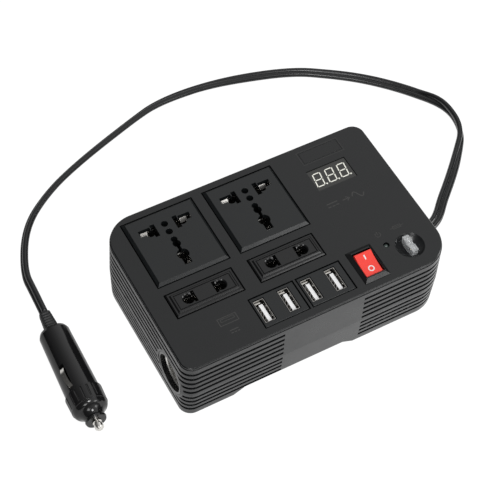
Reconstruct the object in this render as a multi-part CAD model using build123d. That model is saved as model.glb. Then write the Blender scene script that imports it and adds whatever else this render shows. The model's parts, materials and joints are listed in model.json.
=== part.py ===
from build123d import *
import os
from math import asin, atan2, cos, degrees, pi, radians, sin, tan

# Power inverter: a flat ribbed plastic case with mains, USB and 12 V outlets, and a lead
# that ends in a lighter plug. Millimetres. The origin is the middle of the case's footprint
# on the surface it stands on, +X to the right, +Y to the back, +Z up.

# ---------------------------------------------------------------- driving dimensions
CASE_W, CASE_D, CASE_H = 160.0, 100.0, 45.0
CORNER_WIDE, CORNER_TIGHT = 18.0, 7.0      # front-right and back-left, then the other two
BULGE = 0.6                                # the sides stand out this far at the parting line
WALL, CEILING, FLOOR = 2.4, 2.4, 2.2
PARTING_Z = 20.0
LIP_Z, LIP_STEP = 43.4, 0.3                # fine step round the top edge
GROUND_GAP = 0.6                           # the rubber feet lift the case this far
BASE_Z = 4.6                               # underside of the base plate
GROOVE_H, GROOVE_DEPTH = 1.95, 1.2
GROOVES_UPPER = [39.3 - 4.15 * n for n in range(5)]
GROOVES_LOWER = [17.3 - 3.9 * n for n in range(4)]
PANEL_LEFT, PANEL_RIGHT = -23.1, 24.4      # smooth front panel between the grooves
BASE_SLOTS, BASE_SLOT_STEP, BASE_SLOT_W, BASE_SLOT_D = 7, 8.0, 3.0, 34.0
ARCH_LEFT, ARCH_RIGHT, ARCH_H, ARCH_RUN = -53.0, 23.4, 4.4, 8.5
VENT_LEFT, VENT_COUNT, VENT_STEP, VENT_BRIDGE = 26.0, 9, 3.8, 0.9

RAISE = 1.5                                # outlet plates stand this far above the top
GAP = 0.6                                  # gap round each plate in the top
OUTLET_X = {"left": -48.3, "right": 0.0}
OUTLET_Y = 23.2
OUTLET_W, OUTLET_D, OUTLET_CHAMFER = 41.3, 43.4, 1.5
OUTLET_BOTTOM, CHAMBER_FLOOR, CHAMBER_TOP = 27.5, 28.7, 43.6
PLATE_UNDER = 41.0                         # the plates' wide part starts this high
LEAF = 0.6                                 # thickness of the spring contacts
TWO_PIN_SHIFT, TWO_PIN_Y = -1.0, -12.0
TWO_PIN_W, TWO_PIN_D = 38.2, 14.9
TWO_PIN_BOTTOM, TWO_PIN_FLOOR, TWO_PIN_CHAMBER = 28.5, 29.7, 43.4
PIN_SPREAD, PIN_HOLE_R = 9.3, 2.8          # round holes of the two-pin outlets
USB_X = {"left": -18.7, "right": 9.1}
USB_Y, USB_W, USB_D = -35.4, 25.4, 18.4
USB_PORTS = (-8.5, 5.8)
USB_OPEN_W, USB_OPEN_D = 6.6, 14.6
USB_SHELL_W, USB_SHELL_D, USB_SHEET, USB_SHELL_Z = 5.9, 13.8, 0.3, 31.2
SWITCH_X, SWITCH_Y, SWITCH_W, SWITCH_D, SWITCH_RAISE = 34.7, -34.9, 15.1, 21.3, 1.8
ROCKER_PIVOT_Z, ROCKER_TILT = 43.4, 10.0
ROCKER_W, ROCKER_D, ROCKER_TOP = 10.2, 13.8, 3.6
SWITCH_BODY_W, SWITCH_BODY_D, SWITCH_BODY_Z = 12.8, 19.0, 28.4
STUB_R, STUB_OUT = 1.0, 1.2                # pivot stubs at the rocker's two sides
LED_X, LED_Y, LED_R, LED_TOP = 50.0, -28.9, 1.5, 43.0
FUSE_X, FUSE_Y, FUSE_RECESS_R, FUSE_RECESS_DEPTH = 61.2, -34.6, 8.0, 3.4
FUSE_W, FUSE_T, FUSE_TOP, FUSE_BODY_H = 10.9, 3.8, 46.6, 8.8
DISPLAY_X, DISPLAY_Y, DISPLAY_W, DISPLAY_D = 48.4, 25.0, 23.8, 14.2
DIGIT_W, DIGIT_H, DIGIT_PITCH, SEGMENT_T = 5.0, 9.2, 7.6, 0.62
LABEL_X, LABEL_Y, LABEL_W, LABEL_D = 50.5, 41.2, 24.2, 8.0
SOCKET_Y, SOCKET_Z, SOCKET_R, BOSS_R = -33.3, 20.8, 12.0, 13.5
SLEEVE_R, SLEEVE_START, SLEEVE_LENGTH, SLEEVE_LEAD_IN = 10.6, 2.5, 36.5, 0.8
BEZEL_DEPTH = 5.0
POST_R, SCREW_R, SCREW_HEAD_R, SCREW_TOP = 3.4, 1.5, 2.8, 34.0
SCREW_HOLE_R = SCREW_R + 0.05
FOOT_R, FOOT_POST_R, FOOT_SEAT = 4.5, 8.0, 1.0
SCREW_SPOTS = [(-73.2, -12.0), (-73.2, 22.0), (73.0, -27.0), (73.0, 27.0)]
FOOT_SPOTS = [(sx * 70.0, sy * 40.0) for sx in (-1, 1) for sy in (-1, 1)]
FAN_X, FAN_Z, FAN_SIZE, FAN_T, FAN_R = 48.0, 24.8, 35.0, 10.0, 15.6
FAN_BLADES, FAN_HUB_R, FAN_PIN_R = 7, 7.0, 1.0
BOARD_Z, BOARD_T = 9.6, 1.6

# cable and plug
CABLE_D = 5.8
EXIT_Y, EXIT_Z, RELIEF_OUT = -16.5, 13.5, 11.0
EXIT_YAW, EXIT_DROP = 20.0, 8.0            # the relief bends with the cable, degrees
ROUTE = [
    (97.8, -10.0, 10.85), (104.4, -5.6, 9.95), (112.4, 2.5, 8.9), (121.0, 10.0, 7.6), (131.5, 19.6, 5.4),
    (141.5, 29.5, 3.6), (156.0, 45.3, 3.1), (157.3, 67.5, 3.1), (143.1, 87.3, 3.1), (126.5, 104.7, 3.1),
    (109.5, 118.0, 3.1), (86.5, 132.3, 3.1), (42.5, 143.8, 3.1), (4.6, 145.4, 3.1), (-20.0, 138.0, 3.1),
    (-57.5, 124.7, 3.1), (-82.4, 113.2, 3.1), (-104.1, 96.4, 3.1), (-117.5, 68.5, 3.9),
    (-118.6, 51.2, 7.18),
]
PLUG_X, PLUG_Y, PLUG_HEADING = -119.4, 36.2, 3.0   # rear end, degrees from -Y towards -X
RELIEF_L, BODY_L, RING_L, NOSE_L, PIN_OUT = 12.4, 42.6, 8.9, 8.7, 5.4
BODY_R_REAR, BODY_R_FRONT, RING_R, NOSE_R = 8.4, 9.3, 10.05, 5.8
RING_RIBS, CONTACT_W, BORE_R, PIN_R, PIN_NECK_R = 18, 2.4, 6.2, 2.45, 1.8
CONTACT_ROLL = 38.0                        # the side contacts' line leans this far off upright
RING_START = RELIEF_L + BODY_L
SEAT = RING_START + 11.0                   # where the tip pin's flange sits in the ring
BORE_START = RELIEF_L + 8.2
SHOULDER = 2.4
PLUG_TILT = degrees(asin((RING_R - BODY_R_REAR) / (BODY_L - SHOULDER)))
PLUG_Z = RING_R - RING_START * sin(radians(PLUG_TILT))


# ---------------------------------------------------------------- small helpers
def block(x0, x1, y0, y1, z0, z1):
    """Box between two corners."""
    return Pos((x0 + x1) / 2, (y0 + y1) / 2, (z0 + z1) / 2) * Box(x1 - x0, y1 - y0, z1 - z0)


def slab(x, y, w, d, z0, z1):
    """Box of a width and depth centred on x, y."""
    return block(x - w / 2, x + w / 2, y - d / 2, y + d / 2, z0, z1)


def rod(x, y, z0, z1, r):
    """Upright cylinder."""
    return Pos(x, y, (z0 + z1) / 2) * Cylinder(r, z1 - z0)


def rod_x(x0, x1, y, z, r):
    """Cylinder along X."""
    return Pos((x0 + x1) / 2, y, z) * Rot(0, 90, 0) * Cylinder(r, x1 - x0)


def rod_y(x, y0, y1, z, r):
    """Cylinder along Y."""
    return Pos(x, (y0 + y1) / 2, z) * Rot(90, 0, 0) * Cylinder(r, y1 - y0)


def plan(grow=0.0):
    """The case's outline from above, grown outwards."""
    half_w, half_d = CASE_W / 2 + grow, CASE_D / 2 + grow
    face = Rectangle(2 * half_w, 2 * half_d)
    face = fillet([v for v in face.vertices() if v.X * v.Y < 0], CORNER_WIDE + grow)
    tight = [v for v in face.vertices() if abs(abs(v.X) - half_w) < 0.01
             and abs(abs(v.Y) - half_d) < 0.01]
    return fillet(tight, max(CORNER_TIGHT + grow, 0.5))


def prism(grow, z0, z1):
    """The case's outline, grown, as a straight solid between two heights."""
    return Pos(0, 0, z0) * extrude(plan(grow), z1 - z0)


def top_edges(shape, z):
    """The edges that lie wholly at height z."""
    return [e for e in shape.edges() if all(abs(v.Z - z) < 1e-3 for v in e.vertices())]


NODES = {}


def add(name, *solids):
    """Keep one node, made of one or more solids."""
    NODES[name] = solids[0] if len(solids) == 1 else Compound(children=list(solids))


# ---------------------------------------------------------------- case
def vent_bars():
    """Bars between the front vents, which stand almost as proud as the ribs."""
    bars = []
    for n in range(1, VENT_COUNT):
        x = VENT_LEFT + n * VENT_STEP - VENT_BRIDGE
        bars.append(block(x, x + VENT_BRIDGE, 0.1 - CASE_D / 2, 8 - CASE_D / 2, -1, GROOVE_H + 1))
    return bars


def groove_rings(heights):
    """Cutters for the grooves round the sides, kept off the front panel and the socket's boss."""
    band = prism(BULGE + 4, 0, GROOVE_H) - prism(-GROOVE_DEPTH + BULGE / 2, -1, GROOVE_H + 1)
    keep = block(PANEL_LEFT, PANEL_RIGHT, -CASE_D, 0, -1, GROOVE_H + 1)
    boss = rod_x(-CASE_W, 0, SOCKET_Y, SOCKET_Z, BOSS_R)
    plain = band - keep
    barred = plain
    for bar in vent_bars():
        barred -= bar
    return [Pos(0, 0, z - GROOVE_H / 2) * (barred if vented(z) else plain) - boss for z in heights]


def vented(z):
    """Is the groove at this height one of those with vents at the front?"""
    return BASE_Z + FLOOR < z < PARTING_Z


def vent_slots(heights):
    """Through slots in the grooves, at the front right and at the fan in the back."""
    cutters = []
    for z in heights:
        low, high = z - GROOVE_H / 2, z + GROOVE_H / 2
        if vented(z):
            for n in range(VENT_COUNT):
                x = VENT_LEFT + n * VENT_STEP
                cutters.append(block(x, x + VENT_STEP - VENT_BRIDGE, -CASE_D, 8 - CASE_D / 2, low, high))
        reach = FAN_R ** 2 - (abs(z - FAN_Z) + GROOVE_H / 2) ** 2
        if reach > 16:
            half = reach ** 0.5
            for side in (-1, 1):
                ends = sorted((FAN_X + side * 0.6, FAN_X + side * half))
                cutters.append(block(ends[0], ends[1], CASE_D / 2 - 5, CASE_D, low, high))
    return cutters


def screw_posts(z0, z1):
    """Posts for the case screws, and the holes down their middles."""
    posts = [rod(x, y, z0, z1, POST_R) for x, y in SCREW_SPOTS]
    holes = [rod(x, y, z0 - 1, z1 - 1, SCREW_HOLE_R) for x, y in SCREW_SPOTS]
    return posts, holes


def upper_cover():
    """Top half of the case: the deck with every opening, and the sides down to the parting line."""
    rise = LIP_Z - PARTING_Z
    shell = Pos(0, 0, PARTING_Z) * extrude(plan(BULGE), rise, taper=degrees(atan2(BULGE, rise)))
    lip = prism(-LIP_STEP, LIP_Z, CASE_H)
    lip = chamfer(top_edges(lip, CASE_H), 0.5)
    shell = shell + lip
    shell -= prism(-WALL, PARTING_Z - 1, CASE_H - CEILING)
    shell -= prism(-WALL + 1.1, PARTING_Z - 1, PARTING_Z + 1.7)
    for cutter in groove_rings(GROOVES_UPPER) + vent_slots(GROOVES_UPPER):
        shell -= cutter

    posts, holes = screw_posts(PARTING_Z + 0.05, CASE_H - 1)
    for post in posts:
        shell += post
    shell += rod(FUSE_X, FUSE_Y, 36.8, CASE_H - 1, FUSE_RECESS_R + 1.6)
    for hole in holes:
        shell -= hole

    sphere_r = (FUSE_RECESS_R ** 2 + FUSE_RECESS_DEPTH ** 2) / (2 * FUSE_RECESS_DEPTH)
    shell -= Pos(FUSE_X, FUSE_Y, CASE_H - FUSE_RECESS_DEPTH + sphere_r) * Sphere(sphere_r)
    shell -= slab(FUSE_X, FUSE_Y, FUSE_T + 0.5, FUSE_W + 0.5, 30, CASE_H)
    for x in OUTLET_X.values():
        shell -= slab(x, OUTLET_Y, OUTLET_W + 2 * GAP, OUTLET_D + 2 * GAP, 35, 50)
        shell -= slab(x + TWO_PIN_SHIFT, TWO_PIN_Y, TWO_PIN_W + 2 * GAP, TWO_PIN_D + 2 * GAP, 35, 50)
    for x in USB_X.values():
        shell -= slab(x, USB_Y, USB_W + 2 * GAP, USB_D + 2 * GAP, 35, 50)
    shell -= slab(SWITCH_X, SWITCH_Y, SWITCH_BODY_W + 0.4, SWITCH_BODY_D + 0.4, 35, 50)
    shell -= rod(LED_X, LED_Y, 35, 50, LED_R + 0.2)
    shell -= slab(DISPLAY_X, DISPLAY_Y, DISPLAY_W + 0.3, DISPLAY_D + 0.3, 35, 50)
    shell -= slab(LABEL_X, LABEL_Y, LABEL_W, LABEL_D, CASE_H - 0.15, 50)
    shell += slab(LABEL_X, LABEL_Y, LABEL_W - 0.8, LABEL_D - 0.8, CASE_H - 1, CASE_H)
    shell -= rod_x(-CASE_W, 4 - CASE_W / 2, SOCKET_Y, SOCKET_Z, SOCKET_R + 0.15)
    add("upper_cover", shell)


def lower_housing():
    """Bottom half of the case, with a raised base plate, a front arch and foot posts."""
    drop = PARTING_Z - GROUND_GAP
    shell = Pos(0, 0, PARTING_Z) * Rot(180, 0, 0) * mirror(
        extrude(plan(BULGE), drop, taper=degrees(atan2(BULGE, drop))), Plane.XZ)
    shell += prism(-WALL + 0.95, PARTING_Z - 1, PARTING_Z + 1.5)
    shell -= prism(-WALL, BASE_Z + FLOOR, PARTING_Z + 3)
    recess = prism(-WALL, -1, BASE_Z)
    for x, y in FOOT_SPOTS:
        recess -= rod(x, y, -2, BASE_Z + 1, FOOT_POST_R)
    shell -= recess
    arch = Polyline((ARCH_LEFT, GROUND_GAP - 1), (ARCH_LEFT + ARCH_RUN, ARCH_H),
                    (ARCH_RIGHT - ARCH_RUN, ARCH_H), (ARCH_RIGHT, GROUND_GAP - 1), close=True)
    shell -= extrude(Plane.XZ * Pos(0, 0, CASE_D / 2 - 4) * make_face(arch), 8)
    for cutter in groove_rings(GROOVES_LOWER) + vent_slots(GROOVES_LOWER):
        shell -= cutter

    posts, holes = screw_posts(BASE_Z, PARTING_Z)
    for post in posts:
        shell += post
    for hole in holes:
        shell -= hole
    for x, y in SCREW_SPOTS:
        shell -= rod(x, y, PARTING_Z - 2, PARTING_Z + 1, SCREW_HOLE_R)
    for x, y in FOOT_SPOTS:
        shell -= rod(x, y, -1, GROUND_GAP + FOOT_SEAT, FOOT_R + 0.1)
    for n in range(BASE_SLOTS):
        x = (n - (BASE_SLOTS - 1) / 2) * BASE_SLOT_STEP - 6
        shell -= slab(x, 12, BASE_SLOT_W, BASE_SLOT_D, BASE_Z - 1, BASE_Z + FLOOR + 1)
    shell -= rod_x(-CASE_W, 4 - CASE_W / 2, SOCKET_Y, SOCKET_Z, SOCKET_R + 0.15)
    shell -= rod_x(CASE_W / 2 - 5, CASE_W, EXIT_Y, EXIT_Z, 4.0)
    add("lower_housing", shell)


def case_hardware():
    """Four cross-head screws up from the base, and four rubber feet."""
    screws, feet = [], []
    for x, y in SCREW_SPOTS:
        head = rod(x, y, BASE_Z - 1.9, BASE_Z, SCREW_HEAD_R) - slab(x, y, 0.8, 3.4, 0, BASE_Z - 1.1)
        head -= slab(x, y, 3.4, 0.8, 0, BASE_Z - 1.1)
        screws.append(head + rod(x, y, BASE_Z - 0.5, SCREW_TOP, SCREW_R))
    for x, y in FOOT_SPOTS:
        pad = rod(x, y, 0, GROUND_GAP + FOOT_SEAT, FOOT_R)
        feet.append(chamfer(top_edges(pad, 0), 0.3))
    add("case_screws", *screws)
    add("rubber_feet", *feet)


# ---------------------------------------------------------------- mains outlets
def universal_holes(x, z0, z1):
    """Cutters for one multi-standard outlet: live and neutral clusters, then the earth holes."""
    y = OUTLET_Y
    cuts = []
    for side in (-1, 1):
        cuts.append(slab(x + side * 11.6, y + 11.5, 6.6, 4.1, z0, z1))
        cuts.append(rod(x + side * 9.3, y + 9.9, z0, z1, 2.5))
        cuts.append(slab(x + side * 6.5, y + 10.4, 2.5, 8.2, z0, z1))
    for dy, r in ((12.0, 1.9), (6.5, 1.9), (0.9, 1.8), (-2.1, 2.2), (-9.4, 3.3)):
        cuts.append(rod(x, y + dy, z0, z1, r))
    cuts.append(slab(x, y - 4.5, 1.8, 5.0, z0, z1))
    cuts.append(slab(x, y - 13.2, 4.2, 5.6, z0, z1))
    return cuts


def clip(x, y, w, d, z0, z1):
    """U-shaped spring contact with two upright leaves and a foot."""
    return slab(x, y, w, d, z0, z1) - slab(x, y, w + 1, d - 2 * LEAF, z0 + LEAF, z1 + 1)


def universal_outlet(side):
    """Square plate with its chambers for the contacts, and the three contacts."""
    x, top = OUTLET_X[side], CASE_H + RAISE
    plate = slab(x, OUTLET_Y, OUTLET_W, OUTLET_D, PLATE_UNDER, top)
    plate = chamfer(top_edges(plate, top), OUTLET_CHAMFER)
    plate += slab(x, OUTLET_Y, 37, 39.5, OUTLET_BOTTOM, PLATE_UNDER + 0.5)
    chambers = [slab(x - 10.2, OUTLET_Y + 11.2, 11.6, 9.6, CHAMBER_FLOOR, CHAMBER_TOP),
                slab(x + 10.2, OUTLET_Y + 11.2, 11.6, 9.6, CHAMBER_FLOOR, CHAMBER_TOP),
                slab(x, OUTLET_Y - 7.0, 7.6, 19.4, CHAMBER_FLOOR, CHAMBER_TOP)]
    for cutter in chambers + universal_holes(x, 40, 50):
        plate -= cutter
    add(f"universal_outlet_{side}", plate)
    add(f"universal_contacts_{side}",
        clip(x - 10.2, OUTLET_Y + 11.3, 10.6, 6.4, CHAMBER_FLOOR, CHAMBER_TOP - 1.2),
        clip(x + 10.2, OUTLET_Y + 11.3, 10.6, 6.4, CHAMBER_FLOOR, CHAMBER_TOP - 1.2),
        clip(x, OUTLET_Y - 9.4, 6.4, 8.6, CHAMBER_FLOOR, CHAMBER_TOP - 2.0))


def two_pin_outlet(side):
    """Narrow plate for two-pin plugs, and its two contacts."""
    x, y, top = OUTLET_X[side] + TWO_PIN_SHIFT, TWO_PIN_Y, CASE_H + RAISE
    ledge = slab(x, y, TWO_PIN_W, TWO_PIN_D, PLATE_UNDER, top - 0.8)
    ledge = chamfer(top_edges(ledge, top - 0.8), 0.6)
    island = slab(x, y, TWO_PIN_W - 3.0, TWO_PIN_D - 3.0, PLATE_UNDER, top)
    island = chamfer(top_edges(island, top), 0.7)
    moat = slab(x, y, 32.4, 9.3, top - 0.6, 50) - slab(x, y, 31.4, 8.3, 0, 60)
    plate = ledge + island - moat
    plate += slab(x, y, 34, 11.5, TWO_PIN_BOTTOM, PLATE_UNDER + 0.5)
    for side_x in (-1, 1):
        plate -= slab(x + side_x * 8.0, y, 8.0, 8.2, TWO_PIN_FLOOR, TWO_PIN_CHAMBER)
        plate -= rod(x + side_x * PIN_SPREAD, y, 40, 50, PIN_HOLE_R)
        plate -= Pos(x + side_x * PIN_SPREAD, y, top - 0.3) * Cone(PIN_HOLE_R, PIN_HOLE_R + 0.6, 0.62)
        plate -= slab(x + side_x * 6.1, y, 1.7, 7.0, 40, 50)
    add(f"two_pin_outlet_{side}", plate)
    add(f"two_pin_contacts_{side}",
        *[clip(x + s * 8.2, y, 6.8, 6.6, TWO_PIN_FLOOR, TWO_PIN_CHAMBER - 1.1) for s in (-1, 1)])


# ---------------------------------------------------------------- USB outlets
def usb_outlets():
    """Two panels of two ports, with each port's metal shell and tongue, and their board."""
    shells, tongues = [], []
    for side, x in USB_X.items():
        top = CASE_H - 0.1
        panel = slab(x, USB_Y, USB_W, USB_D, 41.4, top)
        panel = chamfer(top_edges(panel, top), 0.25)
        panel += slab(x, USB_Y, USB_W - 2, USB_D - 2, 38.0, 41.6)
        for port in USB_PORTS:
            px, py = x + port, USB_Y + 0.4
            panel -= slab(px, py, USB_OPEN_W, USB_OPEN_D, 30, 50)
            tube = slab(px, py, USB_SHELL_W, USB_SHELL_D, USB_SHELL_Z, top - 0.35)
            inner_w, inner_d = USB_SHELL_W - 2 * USB_SHEET, USB_SHELL_D - 2 * USB_SHEET
            shells.append(tube - slab(px, py, inner_w, inner_d, USB_SHELL_Z + 0.7, 50))
            tongues.append(slab(px + 0.55, py - 0.7, 2.1, 11.1, USB_SHELL_Z + 0.75, top - 2.0))
        add(f"usb_panel_{side}", panel)
    add("usb_shells", *shells)
    add("usb_tongues", *tongues)
    centre = sum(USB_X.values()) / 2
    add("usb_board", slab(centre, USB_Y, 55, 20, USB_SHELL_Z - 0.2 - BOARD_T, USB_SHELL_Z - 0.2))


# ---------------------------------------------------------------- switch, lamp, fuse, display
def power_switch():
    """Housing with a sloped flange, two terminals, and the rocker on its pivot stubs."""
    x, y, top = SWITCH_X, SWITCH_Y, CASE_H + SWITCH_RAISE
    flange = slab(x, y, SWITCH_W, SWITCH_D, CASE_H + 0.02, top)
    flange = chamfer(top_edges(flange, top), SWITCH_RAISE - 0.3, 2.1)
    flange += slab(x, y, SWITCH_BODY_W, SWITCH_BODY_D, SWITCH_BODY_Z, CASE_H + 0.5)
    flange -= slab(x, y, ROCKER_W + 0.7, ROCKER_D + 1.9, 32.0, 50)
    flange -= rod_x(x - ROCKER_W, x + ROCKER_W, y, ROCKER_PIVOT_Z, STUB_R + 0.15)
    terminals = []
    for dy in (-4.6, 4.6):
        flange -= slab(x, y + dy, 4.9, 0.9, 20, 33)
        terminals.append(slab(x, y + dy, 4.8, 0.8, 20.5, 33.0))
    add("switch_housing", flange)
    add("switch_terminals", *terminals)

    half_d, half_w = ROCKER_D / 2, ROCKER_W / 2
    outline = Polyline((-half_d, ROCKER_TOP), (-half_d, ROCKER_TOP - 2.6), (-4.2, -4.6),
                       (4.2, -4.6), (half_d, ROCKER_TOP - 2.6), (half_d, ROCKER_TOP), close=True)
    body = extrude(Plane.YZ * Pos(0, 0, -half_w) * make_face(outline), ROCKER_W)
    body -= Pos(0, 0, ROCKER_TOP + 29.4) * Rot(0, 90, 0) * Cylinder(30, ROCKER_W + 2)
    rim = [e for e in body.edges() if all(v.Z > 2.5 for v in e.vertices())]
    body = fillet(rim, 0.45) + Rot(0, 90, 0) * Cylinder(STUB_R, ROCKER_W + 2 * STUB_OUT)
    add("rocker", Pos(x, y, ROCKER_PIVOT_Z) * Rot(ROCKER_TILT, 0, 0) * body)


def power_lamp():
    """A 3 mm lamp with its rim."""
    bulb = rod(LED_X, LED_Y, 38.0, LED_TOP, LED_R) + Pos(LED_X, LED_Y, LED_TOP) * Sphere(LED_R)
    add("power_lamp", bulb + rod(LED_X, LED_Y, 37.2, 38.2, LED_R + 0.4))


def blade_fuse():
    """Clear fuse with its link and two blades, and the holder with its clips."""
    x, y = FUSE_X, FUSE_Y
    bottom = FUSE_TOP - FUSE_BODY_H
    body = slab(x, y, FUSE_T, FUSE_W, bottom, FUSE_TOP)
    body = fillet(body.edges().filter_by(Axis.Z), 0.5)
    body -= slab(x, y, 1.6, 8.2, bottom - 1, FUSE_TOP - 1.0)
    body -= slab(x, y, FUSE_T + 1, 2.4, FUSE_TOP - 0.9, 60)
    add("fuse_body", body)
    link = slab(x, y, 0.7, 7.8, bottom + 3.2, FUSE_TOP - 2.4)
    link -= slab(x, y, 1, 2.4, bottom, FUSE_TOP - 3.6)
    for s in (-1, 1):
        link += slab(x, y + s * 2.65, 0.7, 2.5, 30.4, bottom + 4)
    add("fuse_blades", link)
    holder = slab(x, y, 9.0, 13.4, 27.0, 36.6)
    for s in (-1, 1):
        holder -= slab(x, y + s * 3.1, 4.4, 4.4, 28.2, 40)
    add("fuse_holder", holder)
    clips = []
    for s in (-1, 1):
        jaw = slab(x, y + s * 3.1, 3.6, 3.4, 28.2, 35.4)
        jaw -= slab(x, y + s * 3.1, 1.3, 4.4, 29.6, 40)
        clips.append(jaw)
    add("fuse_clips", *clips)


def digit_segments(x, y, z0, z1):
    """Seven bars and a point, leaning like a display digit."""
    half_w, half_h, t = DIGIT_W / 2, DIGIT_H / 2, SEGMENT_T
    across = [(0, half_h - t / 2), (0, 0), (0, -half_h + t / 2)]
    upright = [(sx * (half_w - t / 2), sy * (half_h / 2 - 0.05)) for sx in (-1, 1) for sy in (-1, 1)]
    bars = []
    for dx, dy in across:
        bars.append((dx, dy, DIGIT_W - 2 * t - 0.3, t))
    for dx, dy in upright:
        bars.append((dx, dy, t, half_h - t - 0.15))
    lean = tan(radians(8))
    solids = []
    for dx, dy, w, h in bars:
        corners = [(cx + lean * cy, cy) for cx, cy in
                   ((dx - w / 2, dy - h / 2), (dx + w / 2, dy - h / 2),
                    (dx + w / 2, dy + h / 2), (dx - w / 2, dy + h / 2))]
        face = make_face(Polyline(*corners, close=True))
        solids.append(Pos(x, y, z0) * extrude(face, z1 - z0))
    solids.append(rod(x + half_w + 1.0 - lean * half_h, y - half_h + 0.4, z0, z1, 0.5))
    return solids


def display():
    """Three-digit module, with each bar as its own insert, and its board."""
    x, y, face_z = DISPLAY_X, DISPLAY_Y, CASE_H - 0.5
    module = slab(x, y, DISPLAY_W, DISPLAY_D, 37.4, face_z)
    segments = []
    for n in (-1, 0, 1):
        segments += digit_segments(x - 0.5 + n * DIGIT_PITCH, y, face_z - 0.3, face_z + 0.02)
    for segment in segments:
        module -= segment
    add("display_module", module)
    add("display_segments", *segments)
    add("display_board", slab(x, y, 30, 17, 35.8, 37.4))


# ---------------------------------------------------------------- 12 V socket
def lighter_socket():
    """Bezel in the left side, metal sleeve, and the insulated centre contact."""
    left = -CASE_W / 2
    end = left + SLEEVE_START + SLEEVE_LENGTH
    bezel = rod_x(left - 0.3, left + BEZEL_DEPTH, SOCKET_Y, SOCKET_Z, SOCKET_R)
    bezel += rod_x(left + WALL + 1.3, end - 4, SOCKET_Y, SOCKET_Z, SLEEVE_R + 1.6)
    bezel -= rod_x(left - 1, left + SLEEVE_START, SOCKET_Y, SOCKET_Z, SLEEVE_R + 0.05)
    bezel -= rod_x(left + SLEEVE_START, end, SOCKET_Y, SOCKET_Z, SLEEVE_R + 0.45)
    add("socket_bezel", bezel)
    sleeve = rod_x(left + SLEEVE_START, end, SOCKET_Y, SOCKET_Z, SLEEVE_R + 0.45)
    sleeve -= rod_x(left, end - 5.2, SOCKET_Y, SOCKET_Z, SLEEVE_R - 0.15)
    sleeve -= rod_x(left, end - 0.8, SOCKET_Y, SOCKET_Z, SLEEVE_R - 1.2)
    mouth = Cone(SLEEVE_R + 0.4, SLEEVE_R - 0.15, SLEEVE_LEAD_IN)
    mouth_x = left + SLEEVE_START + SLEEVE_LEAD_IN / 2
    sleeve -= Pos(mouth_x, SOCKET_Y, SOCKET_Z) * Rot(0, 90, 0) * mouth
    sleeve -= rod_x(left, end + 1, SOCKET_Y, SOCKET_Z, 4.2)
    add("socket_sleeve", sleeve)
    insulator = rod_x(end - 2.4, end + 2.6, SOCKET_Y, SOCKET_Z, 4.15)
    insulator += rod_x(end + 0.05, end + 2.6, SOCKET_Y, SOCKET_Z, 7.0)
    insulator -= rod_x(end - 5, end + 4, SOCKET_Y, SOCKET_Z, 1.3)
    add("socket_insulator", insulator)
    contact = rod_x(end - 4.6, end - 2.45, SOCKET_Y, SOCKET_Z, 3.0)
    contact += rod_x(end - 4, end + 5, SOCKET_Y, SOCKET_Z, 1.25)
    add("socket_centre_contact", contact)


# ---------------------------------------------------------------- electronics
def main_board():
    """Board with clearance round the screw posts, and the spacers under it."""
    board = block(-74, 68, -18, 35.5, BOARD_Z, BOARD_Z + BOARD_T)
    board += block(-32, 50, -46, -17, BOARD_Z, BOARD_Z + BOARD_T)
    for x, y in SCREW_SPOTS:
        board -= rod(x, y, 0, 30, 4.2)
    add("main_board", board)
    legs = [rod(x, y, BASE_Z + FLOOR, BOARD_Z, 3.0)
            for x, y in ((-60, -12), (-60, 30), (60, -12), (60, 30), (-26, -40), (44, -40))]
    add("board_spacers", *legs)


def power_stage():
    """Transformer, capacitors, choke, and two transistors on a finned heat sink."""
    top = BOARD_Z + BOARD_T
    x, y = 44.6, 4.0
    core = slab(x, y, 28, 12, top + 1.0, top + 23.5)
    window = slab(x, y, 20, 14, top + 5.5, top + 19)
    core = core - window + slab(x, y, 7.6, 12, top + 5, top + 19.5)
    add("transformer_core", core)
    coil = slab(x, y, 19.4, 21, top + 6, top + 18.5)
    coil = fillet(coil.edges().filter_by(Axis.Z), 4)
    coil -= slab(x, y, 8.2, 12.6, top, top + 30)
    add("transformer_coil", coil)

    cans = [(28.5, 30.0, 6.2, 24), (28.5, 16.0, 6.2, 24), (-25.0, -37.0, 4.9, 15),
            (-12.0, -37.0, 4.9, 15), (2.0, -37.0, 4.9, 15), (-60.0, 2.0, 4.0, 12)]
    tins = []
    for cx, cy, r, h in cans:
        can = rod(cx, cy, top, top + h, r)
        can = fillet(top_edges(can, top + h), 0.6)
        groove = rod(cx, cy, top + 1.4, top + 2.2, r + 1) - rod(cx, cy, top, top + 4, r - 0.4)
        tins.append(can - groove)
    add("capacitors", *tins)

    ring = Pos(31.0, -17.0, top + 2.7) * Torus(6.4, 2.8)
    add("choke", ring - rod(31.0, -17.0, top - 2, top, 12))

    sink = block(63.5, 65.5, -4, 20, top, 38)
    for n in range(6):
        sink += block(65.4, 73.5, -4 + n * 4.6, -3 + n * 4.6, top, 38)
    add("heat_sink", sink)
    tabs, packages = [], []
    for cy in (1.5, 13.5):
        tabs.append(block(62.2, 63.45, cy - 5, cy + 5, top + 6, top + 21))
        packages.append(block(59.0, 62.2, cy - 5, cy + 5, top + 6, top + 15))
    add("transistor_tabs", *tabs)
    add("transistor_packages", *packages)


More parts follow.
